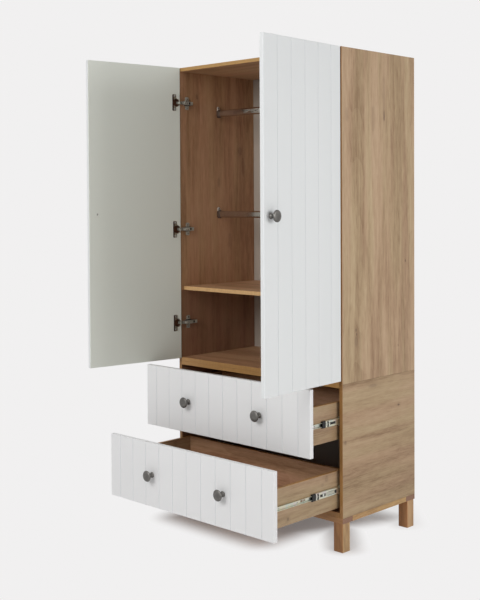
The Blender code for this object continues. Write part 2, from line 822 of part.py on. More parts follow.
def drawer_member_outline():
    """A plain channel: its web lies on the drawer side and its flanges point at the carcass."""
    half = RUNNER_STEEL / 2
    web = RUNNER_SPACE - half + RUNNER_SINK
    high = DRAWER_MEMBER_HEIGHT / 2 - half
    upper = [
        (DRAWER_MEMBER_START, high),
        (web - RUNNER_BEND, high),
        (web, high - RUNNER_BEND),
    ]
    return strip_outline(upper + [(p, -q) for p, q in upper[::-1]], RUNNER_STEEL)


def bumper_outline():
    """A plastic end cap that leaves the way free for the drawer member."""
    outer = MIDDLE_MEMBER_HEIGHT / 2 - RUNNER_SINK
    inner = DRAWER_MEMBER_HEIGHT / 2 + RUNNER_PLAY
    start = MIDDLE_MEMBER_START
    reach = MIDDLE_MEMBER_REACH
    upper = [
        (start + BUMPER_FLOOR, inner),
        (reach, inner),
        (reach, outer - RUNNER_BEND),
        (reach - RUNNER_BEND, outer),
        (start + RUNNER_BEND, outer),
        (start, outer - RUNNER_BEND),
    ]
    return upper + [(p, -q) for p, q in upper[::-1]]


def runner_height(level):
    return FRONT_BOTTOM[level] + BOX_LIFT + RUNNER_LIFT


def cabinet_member(level, name, side):
    bm = bmesh.new()
    start = RUNNER_SETBACK
    place = runner_frame(side, runner_height(level))
    add_prism(bm, cabinet_member_outline(), "y", start, start + RUNNER_LENGTH, place)
    make_part(f"cabinet_member_{level}_{name}", bm, ZINC)


def middle_member(level, name, side, pivot):
    """The steel channel that runs between the two others, with a plastic cap on its front."""
    steel = bmesh.new()
    cap = bmesh.new()
    start = RUNNER_SETBACK
    cap_end = start + BUMPER_LENGTH
    place = runner_frame(side, runner_height(level))
    add_prism(steel, middle_member_outline(), "y", cap_end - HAIR, start + RUNNER_LENGTH, place)
    add_prism(cap, bumper_outline(), "y", start, cap_end, place)
    part = make_part(f"middle_member_{level}_{name}", steel, ZINC, pivot)
    join(part, "cap", cap, BLACK_PLASTIC)


# Drawers

def drawer_front(level, pivot):
    bottom = FRONT_BOTTOM[level]
    low = (-FRONT_HALF, -FRONT_GAP - FRONT_BOARD, bottom)
    high = (FRONT_HALF, -FRONT_GAP, bottom + FRONT_HEIGHT)
    grooved_board(f"drawer_front_{level}", low, high, pivot)
    for name, side in SIDES.items():
        knob_x = side * DRAWER_KNOB_SPREAD
        knob_z = bottom + FRONT_HEIGHT / 2
        add_knob(f"knob_{level}_{name}", knob_x, -FRONT_GAP - FRONT_BOARD, knob_z, pivot)


def drawer_side(level, name, side, low, pivot):
    """A drawer side with the groove that the bottom sheet slides into."""
    inner = BOX_HALF - BOX_SIDE
    groove_floor = inner + BOX_GROOVE_DEPTH
    groove_low = low + BOX_BOTTOM_LIFT - HAIR
    groove_high = low + BOX_BOTTOM_LIFT + BOX_BOTTOM + HAIR
    outline = [
        (side * BOX_HALF, low),
        (side * BOX_HALF, low + BOX_HEIGHT),
        (side * inner, low + BOX_HEIGHT),
        (side * inner, groove_high),
        (side * groove_floor, groove_high),
        (side * groove_floor, groove_low),
        (side * inner, groove_low),
        (side * inner, low),
    ]
    bm = bmesh.new()
    add_prism(bm, outline, "y", -FRONT_GAP + HAIR, -FRONT_GAP + BOX_DEPTH)
    part = make_part(f"drawer_side_{level}_{name}", bm, OAK, pivot)
    soften_edges(part, BOARD_EDGE)
    member = bmesh.new()
    place = runner_frame(side, runner_height(level))
    start = RUNNER_SETBACK
    add_prism(member, drawer_member_outline(), "y", start, start + BOX_DEPTH - 2 * start, place)
    join(part, "member", member, ZINC)


def drawer_box(level, pivot):
    """Two sides, a back and a thin bottom in grooves, fixed behind the front."""
    low = FRONT_BOTTOM[level] + BOX_LIFT
    front = -FRONT_GAP + HAIR
    back = -FRONT_GAP + BOX_DEPTH
    inner = BOX_HALF - BOX_SIDE
    for name, side in SIDES.items():
        drawer_side(level, name, side, low, pivot)
    sheet = low + BOX_BOTTOM_LIFT
    bottom = bmesh.new()
    reach = inner + BOX_GROOVE_DEPTH - HAIR
    add_block(bottom, (-reach, front, sheet), (reach, back, sheet + BOX_BOTTOM))
    make_part(f"drawer_bottom_{level}", bottom, OAK, pivot)
    rear = bmesh.new()
    add_block(
        rear,
        (-inner + HAIR, back - BOX_BACK, sheet + BOX_BOTTOM + HAIR),
        (inner - HAIR, back, low + BOX_HEIGHT),
    )
    soften_edges(make_part(f"drawer_back_{level}", rear, OAK, pivot), BOARD_EDGE)


def drawer(level):
    """One drawer on its two runners, pulled out with the middle members part of the way."""
    out = DRAWER_OUT[level]
    home = (0.0, 0.0, runner_height(level))
    pivot = make_pivot(f"drawer_slide_{level}", home, pull=out)
    middle_pivot = make_pivot(f"middle_slide_{level}", home, pull=out * MIDDLE_SHARE[level])
    drawer_front(level, pivot)
    drawer_box(level, pivot)
    for name, side in SIDES.items():
        cabinet_member(level, name, side)
        middle_member(level, name, side, middle_pivot)


def main():
    clear_scene()
    carcass()
    base_frame()
    legs()
    for name, drop in RAIL_DROPS.items():
        hanging_rail(name, drop)
    for name, side in SIDES.items():
        hung_door(name, side)
    for level in DRAWER_OUT:
        drawer(level)


main()
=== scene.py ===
"""Oak effect wardrobe cupboard with grooved white doors and drawers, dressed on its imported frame.

Lengths are in metres. Each added piece is drawn with the doors and drawers shut, and is then moved to
where its body rests.
"""
import json
import math

import bmesh
import bpy
from mathutils import Matrix, Vector


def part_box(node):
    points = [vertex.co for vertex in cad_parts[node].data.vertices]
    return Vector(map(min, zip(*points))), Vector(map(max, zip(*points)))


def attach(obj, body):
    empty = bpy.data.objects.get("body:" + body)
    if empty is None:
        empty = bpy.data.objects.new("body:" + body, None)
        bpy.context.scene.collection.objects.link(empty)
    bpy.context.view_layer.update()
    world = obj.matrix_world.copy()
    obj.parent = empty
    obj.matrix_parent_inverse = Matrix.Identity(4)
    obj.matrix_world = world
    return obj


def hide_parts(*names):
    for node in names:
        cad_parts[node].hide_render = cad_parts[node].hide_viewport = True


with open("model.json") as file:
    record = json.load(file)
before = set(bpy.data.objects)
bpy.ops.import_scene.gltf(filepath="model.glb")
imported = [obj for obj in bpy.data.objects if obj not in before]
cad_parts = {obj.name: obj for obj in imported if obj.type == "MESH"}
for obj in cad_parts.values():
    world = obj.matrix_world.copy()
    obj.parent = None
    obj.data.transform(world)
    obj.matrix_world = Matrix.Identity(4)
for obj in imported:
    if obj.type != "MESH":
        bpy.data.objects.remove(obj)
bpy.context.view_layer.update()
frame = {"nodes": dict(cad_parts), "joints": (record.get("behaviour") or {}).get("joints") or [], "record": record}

# Where the cupboard stands, and the sizes that its fittings share with the frame

CENTRE_LINE = 0.018
HALF = 0.450
SIDE_BOARD = 0.015
INNER_HALF = HALF - SIDE_BOARD
TOP_Z = 1.900
DOOR_GAP = 0.004
DOOR_BOARD = 0.016
DOOR_FACE = -DOOR_GAP - DOOR_BOARD
FRONT_GAP = 0.003
FRONT_BOARD = 0.018
FRONT_FACE = -FRONT_GAP - FRONT_BOARD
GROOVE_PITCH = 0.078
GROOVE_HALF = 0.0017
GROOVE_DEPTH = 0.0025
ARM_BACKS = {"top": 0.063, "middle": 0.065, "bottom": 0.081}
HINGE_DROPS = {"top": 0.150, "middle": 0.693, "bottom": 1.096}
RAIL_DROPS = {"upper": 0.184, "lower": 0.631}
RAIL_SETBACK = 0.2295
RAIL_SIZE = (0.015, 0.030)
BOX_HALF = 0.4223
RUNNER_HEIGHTS = {"lower": 0.238, "upper": 0.498}
CAP_ENDS = {"lower": 0.0200, "upper": 0.0180}
SIDES = {"left": -1, "right": 1}
INWARD = {"left": "right", "right": "left"}


# How the frame's bodies stand at rest, from drawn shut

def body_places():
    """The turn or slide that takes each body from shut to where it rests."""
    joints = {joint["name"]: joint for joint in frame["joints"]}
    follows = {row["joint"]: row for row in frame["record"]["behaviour"]["couplings"]}
    places = {"carcass": Matrix.Identity(4)}
    for name, joint in joints.items():
        axis = Vector(joint["axis"])
        if joint["type"] == "hinge":
            centre = Vector(joint["pos_m"])
            turn = Matrix.Rotation(math.radians(-joint["range_deg"][0]), 4, axis)
            place = Matrix.Translation(centre) @ turn @ Matrix.Translation(-centre)
        elif name in follows:
            row = follows[name]
            travel = -joints[row["follows"]]["range_m"][0] * row["ratio"]
            place = Matrix.Translation(axis * travel)
        else:
            place = Matrix.Translation(axis * -joint["range_m"][0])
        places[joint["child"]] = place
    shift = Matrix.Translation((CENTRE_LINE, 0.0, 0.0))
    return {body: place @ shift for body, place in places.items()}


PLACES = body_places()


def colour(red, green, blue):
    """A colour as it shows on a screen, 0 to 255, made linear."""
    def linear(value):
        part = value / 255
        return part / 12.92 if part <= 0.04045 else ((part + 0.055) / 1.055) ** 2.4
    return (linear(red), linear(green), linear(blue), 1.0)


def lighter(shade, factor, lift=0.0):
    """A linear colour made lighter or darker."""
    return [min(1.0, part * factor + lift) for part in shade[:3]] + [1.0]


# Shader maths

class Field:
    """A number, colour or vector that changes over a surface."""

    def __init__(self, nodes, socket):
        self.nodes = nodes
        self.socket = socket

    def maths(self, operation, first, second):
        return self.nodes.node("Math", {"operation": operation}, {0: first, 1: second})

    def __add__(self, other):
        return self.maths("ADD", self, other)

    __radd__ = __add__

    def __sub__(self, other):
        return self.maths("SUBTRACT", self, other)

    def __rsub__(self, other):
        return self.maths("SUBTRACT", other, self)

    def __mul__(self, other):
        return self.maths("MULTIPLY", self, other)

    __rmul__ = __mul__

    def __gt__(self, other):
        return self.maths("GREATER_THAN", self, other)

    def __lt__(self, other):
        return self.maths("LESS_THAN", self, other)

    def __abs__(self):
        return self.maths("ABSOLUTE", self, 0.0)

    def at_least(self, other):
        return self.maths("MAXIMUM", self, other)

    def at_most(self, other):
        return self.maths("MINIMUM", self, other)

    def root(self):
        return self.maths("SQRT", self, 0.0)

    def fraction(self):
        return self.maths("FRACT", self, 0.0)

    def swing(self, width):
        """Up and down between 0 and a width, as a pendulum's distance from its ends."""
        return self.maths("PINGPONG", self, width)


class Nodes:
    """Adds nodes to a shader tree and hands back what they put out."""

    def __init__(self, tree):
        self.tree = tree

    def node(self, kind, settings=None, inputs=None, output=0):
        made = self.tree.nodes.new("ShaderNode" + kind)
        for key, value in (settings or {}).items():
            if key == "stops":
                ramp = made.color_ramp
                while len(ramp.elements) < len(value):
                    ramp.elements.new(0.5)
                for element, (place, shade) in zip(ramp.elements, value):
                    element.position = place
                    element.color = shade
            else:
                setattr(made, key, value)
        for key, value in (inputs or {}).items():
            if isinstance(value, Field):
                self.tree.links.new(value.socket, made.inputs[key])
            else:
                made.inputs[key].default_value = value
        return Field(self, made.outputs[output])

    def parts(self, point):
        """The three coordinates of a point or direction."""
        split = self.tree.nodes.new("ShaderNodeSeparateXYZ")
        self.tree.links.new(point.socket, split.inputs[0])
        return [Field(self, socket) for socket in split.outputs]

    def seen_or_mirrored(self):
        """1 for a ray from the camera, off metal or through glass, and 0 for one that carries light."""
        seen = 0.0
        for way in ("Camera", "Glossy", "Transmission"):
            seen = self.node("LightPath", output=f"Is {way} Ray").at_least(seen)
        return seen


class Finish(Nodes):
    """A material made of named parts: a colour, a roughness, a metallic share and a relief."""

    def __init__(self, name, roughness, metallic=0.0):
        self.material = bpy.data.materials.new(name)
        self.material.use_nodes = True
        super().__init__(self.material.node_tree)
        self.shader = self.tree.nodes["Principled BSDF"]
        self.shader.inputs["Roughness"].default_value = roughness
        self.shader.inputs["Metallic"].default_value = metallic
        self.point = self.node("TexCoord", output="Object")

    def spread(self, scale, offset=(0, 0, 0)):
        """The surface's points, stretched along a grain."""
        return self.node("Mapping", None, {"Vector": self.point, "Location": offset, "Scale": scale})

    def noise(self, point, scale, detail=2.0, roughness=0.5, distortion=0.0):
        inputs = {
            "Vector": point, "Scale": scale, "Detail": detail,
            "Roughness": roughness, "Distortion": distortion,
        }
        return self.node("TexNoise", None, inputs)

    def step(self, value, low, high, start=0.0, end=1.0):
        """A smooth change from start to end while a value goes from low to high."""
        inputs = {"Value": value, "From Min": low, "From Max": high, "To Min": start, "To Max": end}
        return self.node("MapRange", {"interpolation_type": "SMOOTHSTEP"}, inputs)

    def blend(self, mask, first, second, kind="MIX"):
        settings = {"data_type": "RGBA", "blend_type": kind}
        return self.node("Mix", settings, {0: mask, 6: first, 7: second}, 2)

    def places(self):
        """How far across, how deep and how high the point lies."""
        return self.parts(self.point)

    def ways(self):
        """How far the surface faces across, back and up."""
        return self.parts(self.node("TexCoord", output="Normal"))

    def shut(self, body):
        """How far across and how deep the point lies when its body is shut."""
        back = PLACES[body].inverted()
        places = []
        for row in (0, 1):
            inputs = {0: self.point, 1: back[row][:3]}
            turned = self.node("VectorMath", {"operation": "DOT_PRODUCT"}, inputs, "Value")
            places.append(turned + back[row][3])
        return places

    def relief(self, height, distance, strength=1.0):
        inputs = {"Height": height, "Distance": distance, "Strength": strength}
        self.set(Normal=self.node("Bump", None, inputs, "Normal"))

    def set(self, **inputs):
        for key, value in inputs.items():
            socket = self.shader.inputs[key.replace("_", " ")]
            if isinstance(value, Field):
                self.tree.links.new(value.socket, socket)
            else:
                socket.default_value = value


# Oak

def oak_tones(red, green, blue):
    """Dark, middle and light shades of one oak: the dark is warmer and the light paler."""
    dark = colour(red * 0.80, green * 0.745, blue * 0.695)
    light = colour(red * 1.10, green * 1.135, blue * 1.18)
    return dark, colour(red, green, blue), light


OUTER_TONES = oak_tones(169, 143, 113)
LOWER_TONES = oak_tones(162, 136, 106)
# Oak inside the cupboard, painted warmer and more saturated for the light bounced inside it
INSIDE_BOUNCE_TONES = oak_tones(174, 133, 100)
# Darker tones for the inner wall under the shelf: a painted shade
UNDER_SHELF_SHADE_TONES = oak_tones(143, 105, 80)
# Oak inside the lower unit, painted darker and warmer: a painted shade
LOWER_INSIDE_SHADE_TONES = oak_tones(140, 103, 80)
BOX_TONES = oak_tones(158, 133, 104)
BOX_INNER_TONES = oak_tones(188, 149, 119)
# Front and back base rails, and the side rails' faces towards the front and back: darker, warmer oak, a painted
# shade
BASE_SHADE_TONES = oak_tones(172, 128, 84)
SIDE_RAIL_TONES = oak_tones(190, 153, 104)
LEG_TONES = oak_tones(181, 147, 106)
# Legs' front and back faces: darker, warmer oak than their sides, a painted shade
LEG_FRONT_SHADE_TONES = oak_tones(166, 118, 74)
EDGE_BAND = (colour(132, 91, 44), colour(160, 117, 66))
CREST_BAND = (colour(150, 106, 56), colour(178, 134, 82))
TOP_BAND = (colour(158, 120, 66), colour(182, 142, 86))
FLOOR_BAND = (colour(156, 114, 62), colour(182, 138, 84))
SHELF_BAND = (colour(178, 138, 90), colour(204, 166, 116))
END_GRAIN = (colour(112, 80, 60), colour(150, 112, 88))
BROWN_HEART = colour(80, 56, 42)
ROSE_STRIP = colour(255, 250, 248)
OLIVE_STRIP = colour(253, 255, 248)
TONE_PLACES = (0.20, 0.50, 0.80)
EDGE_SKIN = 0.0007
ARCH_COUNT = 17.0
ARCH_DEPTH = 0.08
PORE_DEPTH = 0.10


def oak_grain(finish, run, offset):
    """Oak figure along one axis, from 0 for dark to 1 for light, its pores, and a tint for its strips."""
    def board(squeeze):
        pull = [1.0, 1.0, 1.0]
        pull[run] = squeeze
        return finish.spread(pull, offset)

    strips = finish.noise(board(0.09), 12.0, 1.5, 0.5, 0.25)
    bands = finish.noise(board(0.045), 55.0, 3.0, 0.6, 0.15)
    hairs = finish.noise(board(0.035), 330.0, 3.0, 0.7)
    flecks = finish.noise(board(0.19), 105.0, 2.0, 0.6)
    rings = finish.noise(board(0.15), 4.4, 1.0, 0.4, 0.1)
    wobble = finish.noise(board(0.22), 42.0, 2.0)
    arch = finish.step((rings * ARCH_COUNT + wobble * 0.20).fraction(), 0.30, 1.00)
    arched = finish.step(finish.noise(board(0.16), 3.6, 1.0), 0.47, 0.60)
    pores = finish.step(finish.noise(board(0.030), 700.0, 2.0, 0.6), 0.57, 0.72)
    boards = finish.step(strips, 0.42, 0.58)
    level = 0.5
    for layer, weight in ((boards, 0.16), (strips, 0.24), (bands, 0.50), (hairs, 0.54), (flecks, 0.38)):
        level = level + (layer - 0.5) * weight
    level = level - arch * arched * ARCH_DEPTH - pores * PORE_DEPTH
    hue = finish.noise(board(0.07), 15.0, 1.5, 0.5, 0.2)
    tint = finish.blend(finish.step(hue, 0.40, 0.60), ROSE_STRIP, OLIVE_STRIP)
    return level, pores, tint


def knot_marks(finish, run, across, marks):
    """Knots at given places on a board: how near the nearest is, from 0 far away to 1, and its heart.
    A mark is where it lies across and along the board, its width and length, and how dark it is."""
    place = finish.places()
    wander = finish.noise(finish.point, 55.0, 3.0, 0.6) - 0.5
    halo, heart = 0.0, 0.0
    for aside, along, width, length, depth in marks:
        far = abs(place[across] - aside) * (1.0 / width)
        on = abs(place[run] - along) * (1.0 / length)
        away = (far * far + on * on).root() + wander * 0.9
        halo = (finish.step(away, 3.0, 0.6) * depth).at_least(halo)
        heart = (finish.step(away, 1.15, 0.55) * depth).at_least(heart)
    return halo, heart


def oak(
    name, run, offset, tones=OUTER_TONES, inside=None, inner=INSIDE_BOUNCE_TONES, front=None, banded=None,
    strip=EDGE_BAND, crest=None, ends=False, steel=None, across=1, marks=(),
):
    """Oak effect board whose grain runs along one axis. Inside says which faces have the inner tones,
    painted warmer, and darker in the lower unit and under the shelf, for the light and shade inside the
    cupboard. Front gives the faces towards the front and back darker tones of their own, a painted shade.
    Banded and crest say where its front and top edges lie, which have a strip of their own, and ends
    darkens its end grain. Steel says within or beyond what distance from the middle the piece is metal,
    and marks lists its knots."""
    finish = Finish(name, 0.55)
    level, pores, tint = oak_grain(finish, run, offset)
    sideways, depth, height = finish.places()
    reach = abs(sideways - CENTRE_LINE)

    def figure(shades):
        stops = list(zip(TONE_PLACES, shades))
        return finish.blend(1.0, finish.node("ValToRGB", {"stops": stops}, {"Fac": level}), tint, "MULTIPLY")

    def flecked(band, pull, scale=160.0, detail=2.0):
        return finish.blend(finish.noise(finish.spread(pull), scale, detail), *band)

    shade = figure(tones)
    if inside == "side":
        inner_shade = figure(inner)
        if inner is INSIDE_BOUNCE_TONES:
            # Below the shelf the inner wall is painted darker: painted shade
            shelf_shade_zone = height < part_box("shelf")[0][2]
            inner_shade = finish.blend(shelf_shade_zone, inner_shade, figure(UNDER_SHELF_SHADE_TONES))
        shade = finish.blend(reach < HALF - SIDE_BOARD / 2, shade, inner_shade)
    if inside == "top":
        shade = finish.blend(height < TOP_Z - 0.0005, shade, figure(inner))
    # Faces towards the front and back take darker tones: painted shade
    if front:
        _, ahead, _ = finish.ways()
        shade = finish.blend(abs(ahead) > 0.7, shade, figure(front))
    if marks:
        halo, heart = knot_marks(finish, run, across, marks)
        shade = finish.blend(halo * 0.55, shade, tones[0])
        shade = finish.blend(heart, shade, BROWN_HEART)
    if banded is not None:
        shade = finish.blend(depth < banded + EDGE_SKIN, shade, flecked(strip, (1.0, 1.0, 0.08)))
    if crest is not None:
        shade = finish.blend(height > crest - EDGE_SKIN, shade, flecked(CREST_BAND, (1.0, 0.08, 1.0)))
    if ends:
        cut = flecked(END_GRAIN, (1.0, 1.0, 1.0), 420.0, 3.0)
        shade = finish.blend(reach > HALF - EDGE_SKIN, shade, cut)
    roughness = 0.50 + pores * 0.16
    if steel:
        limit, beyond = steel
        plated = reach > limit if beyond else reach < limit
        shade = finish.blend(plated, shade, zinc_colour(finish))
        roughness = finish.node("Mix", None, {0: plated, 2: roughness, 3: 0.34})
        finish.set(Metallic=plated)
    finish.set(Base_Color=shade, Roughness=roughness)
    finish.relief(1.0 - pores, 0.00012, 0.35)
    return finish.material


# Paint, metal and plastic

WHITE = colour(226, 226, 226)
# The doors' white is a touch cooler than the drawers': a painted tint for the light on the doors
DOOR_WHITE_TINTED_FOR_LIGHT = colour(221, 223, 223)
# Darker paint in the grooves: painted shade
GROOVE_SHADE_PAINT = colour(217, 218, 220)
INNER_PAINT = colour(222, 225, 216)
INNER_PAINT_DEPTH = 0.0150
CAP_BLACK = colour(6, 6, 7)
ARM_NECK = 0.0015
FLANGE_SHADE_SPLIT = 0.0345


def zinc_colour(finish):
    """Passivated zinc: silver with faint clouds of yellow, green and rose along the steel."""
    cloud = finish.noise(finish.spread((1.0, 0.5, 1.0)), 60.0, 2.0)
    tint = finish.noise(finish.spread((1.0, 1.0, 1.0), (3.0, 1.0, 2.0)), 34.0, 2.0)
    steel = finish.blend(finish.step(cloud, 0.42, 0.60), colour(198, 205, 194), colour(212, 208, 186))
    return finish.blend(finish.step(tint, 0.52, 0.66) * 0.7, steel, colour(212, 194, 196))


def lacquer(name, shade, body=None, face=0.0, inner_side=None):
    """Sprayed paint with a faint orange peel, with painted shade in the grooves of a body's outer face,
    and with a creamier shade on its inner face."""
    finish = Finish(name, 0.42)
    peel = finish.noise(finish.point, 420.0, 2.0)
    cloud = finish.noise(finish.point, 3.0, 2.0)
    tone = finish.blend(finish.step(cloud, 0.35, 0.65) * 0.35, shade, lighter(shade, 0.97))
    if body:
        along, deep = finish.shut(body)
        middle = (along + GROOVE_PITCH * 10.5).swing(GROOVE_PITCH / 2)
        # The grooves on the outer face are painted darker: painted shade
        groove = finish.step(GROOVE_PITCH / 2 - middle, GROOVE_HALF * 1.15, GROOVE_HALF * 0.7)
        tone = finish.blend(groove * (deep < face + GROOVE_DEPTH), tone, GROOVE_SHADE_PAINT)
        if inner_side:
            tone = finish.blend(deep > face + inner_side, tone, INNER_PAINT)
    finish.set(Base_Color=tone, Roughness=0.38 + cloud * 0.10)
    finish.relief(peel, 0.00008, 0.25)
    return finish.material


def metal(name, shade, roughness, brushed, metallic, wear):
    """Plated or cast metal: brushed gives it fine scratches, wear lightens it in clouds."""
    finish = Finish(name, roughness, metallic)
    cloud = finish.noise(finish.point, 60.0, 3.0, 0.6)
    scratch = finish.noise(finish.spread((0.06, 0.06, 1.0)), 900.0, 2.0)
    finish.set(Base_Color=finish.blend(finish.step(cloud, 0.38, 0.66), shade, lighter(shade, 1.0 + wear)))
    finish.set(Roughness=roughness - 0.05 + cloud * 0.08 + scratch * (0.10 * brushed))
    finish.relief(scratch * brushed + cloud * 0.3, 0.00005, 0.3)
    return finish.material


def plastic(name, shade, roughness):
    finish = Finish(name, roughness)
    grain = finish.noise(finish.point, 900.0, 2.0)
    cloud = finish.noise(finish.point, 40.0, 2.0)
    tone = finish.blend(cloud, shade, lighter(shade, 1.25, 0.002))
    finish.set(Base_Color=tone, Roughness=roughness - 0.04 + cloud * 0.08)
    finish.relief(grain, 0.00004, 0.4)
    return finish.material


def hinge_steel(name):
    """Nickelled hinge arm, with painted shade on its folded sides
    and on the neck in front of the cupboard.
    """
    finish = Finish(name, 0.42, 0.5)
    cloud = finish.noise(finish.point, 60.0, 3.0, 0.6)
    _, depth, _ = finish.places()
    _, _, upright = finish.ways()
    shade = finish.blend(finish.step(cloud, 0.38, 0.66), colour(172, 170, 158), colour(192, 193, 183))
    # The neck in front of the cupboard is painted darker: painted shade
    shade = finish.blend(depth < ARM_NECK, shade, colour(138, 137, 126))
    # Faces turned up or down, the arm's folded sides, are painted dark: painted shade
    shade = finish.blend(finish.step(abs(upright), 0.5, 0.9) * 0.85, shade, colour(52, 44, 38))
    finish.set(Base_Color=shade, Roughness=0.38 + cloud * 0.10)
    finish.relief(cloud, 0.00004, 0.3)
    return finish.material


def cup_steel(name, body):
    """Dark nickelled hinge cup: brown inside the cup, with painted shade on the half of the flange away
    from the pin.
    """
    finish = Finish(name, 0.38, 0.6)
    cloud = finish.noise(finish.point, 60.0, 3.0, 0.6)
    along, deep = finish.shut(body)
    shade = finish.blend(finish.step(cloud, 0.38, 0.66), colour(146, 140, 124), colour(168, 162, 146))
    # The half of the flange away from the pin is painted dark brown: painted shade
    shade = finish.blend(abs(along) < HALF - FLANGE_SHADE_SPLIT, shade, colour(74, 50, 42))
    shade = finish.blend(deep < -DOOR_GAP - 0.0003, shade, colour(104, 70, 52))
    finish.set(Base_Color=shade, Roughness=0.34 + cloud * 0.10)
    finish.relief(cloud, 0.00004, 0.3)
    return finish.material


def capped_steel(name, middle, painted):
    """The middle runner member: steel with painted shade along its recessed middle, and a black plastic
    cap in front.
    """
    finish = Finish(name, 0.32, 1.0)
    _, depth, height = finish.places()
    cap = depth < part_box(name)[0][1] + painted
    cloud = finish.noise(finish.point, 70.0, 3.0)
    # The recessed middle of the member is painted darker: painted shade
    web = finish.step(abs(height - middle), 0.0064, 0.0056) * 0.45
    steel = finish.blend(web, zinc_colour(finish), colour(150, 146, 130))
    finish.set(Base_Color=finish.blend(cap, steel, CAP_BLACK), Metallic=1.0 - cap)
    finish.set(Roughness=0.30 + cloud * 0.08 + cap * 0.28)
    return finish.material


BACK_PAPER = lacquer("back_sheet_white", colour(172, 162, 151))
CHROME = metal("chrome", colour(190, 184, 180), 0.12, 0.0, 1.0, 0.03)
DULL_CHROME = metal("dull_chrome", colour(92, 76, 66), 0.42, 0.2, 0.6, 0.06)
EAR_STEEL = metal("ear_steel", colour(196, 190, 180), 0.50, 0.2, 0.45, 0.06)
PEWTER = metal("dark_pewter", colour(98, 96, 93), 0.34, 0.3, 0.85, 0.35)
NICKEL = hinge_steel("nickel")
# Dark nickel for the painted shadow lines beside the hinge arms
DARK_LINE = metal("shaded_nickel", colour(52, 44, 40), 0.60, 0.2, 0.3, 0.10)
DARK_FOLD = metal("dull_nickel", colour(122, 112, 102), 0.50, 0.3, 0.4, 0.10)
ZINC = metal("zinc_plate", colour(206, 209, 198), 0.30, 0.5, 1.0, 0.05)
SCREW_STEEL = metal("screw_steel", colour(188, 188, 184), 0.28, 0.2, 1.0, 0.08)
# Dark pieces standing for the shade in recesses, holes and gaps: painted shade
RECESS_SHADE = plastic("painted_recess_shade", colour(22, 20, 20), 0.70)
# Wood seen through holes, painted darker for the shade in them
SHADED_SEEN_WOOD = plastic("shaded_wood_through_hole", colour(122, 92, 68), 0.70)


# Making pieces

def put(name, bm, material, body, sharp=35):
    """Turns a bmesh drawn with everything shut into a finished piece that rides on its body."""
    bmesh.ops.remove_doubles(bm, verts=bm.verts, dist=1e-6)
    bmesh.ops.recalc_face_normals(bm, faces=bm.faces)
    bmesh.ops.transform(bm, matrix=PLACES[body], verts=bm.verts)
    mesh = bpy.data.meshes.new(name)
    bm.to_mesh(mesh)
    bm.free()
    mesh.materials.append(material)
    mesh.shade_smooth()
    mesh.set_sharp_from_angle(angle=math.radians(sharp))
    piece = bpy.data.objects.new(name, mesh)
    bpy.context.scene.collection.objects.link(piece)
    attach(piece, body)
    return piece


def add_spun(bm, profile, place, steps=48):
    """Spins a line of radius and height round Z, then puts it in place."""
    before = set(bm.verts)
    line = [bm.verts.new((radius, 0.0, height)) for radius, height in profile]
    edges = [bm.edges.new(pair) for pair in zip(line, line[1:])]
    bmesh.ops.spin(
        bm, geom=line + edges, cent=(0, 0, 0), axis=(0, 0, 1),
        angle=math.tau, steps=steps, use_merge=True,
    )
    made = [vert for vert in bm.verts if vert not in before]
    bmesh.ops.remove_doubles(bm, verts=made, dist=1e-7)
    made = [vert for vert in bm.verts if vert not in before]
    bmesh.ops.transform(bm, matrix=place, verts=made)


def add_bar(bm, size, place, softness=0.0, lean=0.0):
    """A block with its edges rounded, which may lean over in the plane of a side board."""
    made = bmesh.ops.create_cube(bm, size=1.0, matrix=Matrix.Diagonal((*size, 1.0)))["verts"]
    if softness:
        edges = list({edge for vert in made for edge in vert.link_edges})
        bevel = bmesh.ops.bevel(
            bm, geom=edges, offset=softness, affect="EDGES", segments=2, profile=0.5, material=-1,
        )
        rounded = {vert for face in bevel["faces"] for vert in face.verts}
        made = list(rounded | {vert for vert in made if vert.is_valid})
    if not isinstance(place, Matrix):
        place = Matrix.Translation(place)
    if lean:
        place = place @ Matrix.Rotation(lean, 4, "X")
    bmesh.ops.transform(bm, matrix=place, verts=made)


def facing(x, y, z, way):
    """A frame whose Z axis points to the left, to the right, or out of the front or back."""
    turns = {
        "left": Matrix.Rotation(math.radians(-90), 4, "Y"),
        "right": Matrix.Rotation(math.radians(90), 4, "Y"),
        "front": Matrix.Rotation(math.radians(90), 4, "X"),
        "back": Matrix.Rotation(math.radians(-90), 4, "X"),
    }
    return Matrix.Translation((x, y, z)) @ turns[way]


class Screws:
    """Raised countersunk heads, and the shade in their cross recesses painted as dark pieces."""

    def __init__(self):
        self.heads = bmesh.new()
        self.crosses = bmesh.new()

    def add(self, radius, place):
        rise = radius * 0.30
        profile = [
            (0, -rise * 0.5), (radius, -rise * 0.5), (radius, 0),
            (radius * 0.86, rise * 0.55), (radius * 0.5, rise * 0.9), (0, rise),
        ]
        add_spun(self.heads, profile, place, 20)
        top = place @ Matrix.Translation((0, 0, rise * 0.92))
        # The cross recess is a dark piece on the head: painted shade
        for size in ((radius * 1.1, radius * 0.26, rise * 0.3), (radius * 0.26, radius * 1.1, rise * 0.3)):
            add_bar(self.crosses, size, top)

    def put(self, heads_name, crosses_name, body, slot):
        put(heads_name, self.heads, SCREW_STEEL, body)
        put(crosses_name, self.crosses, RECESS_SHADE, body)


# Knobs

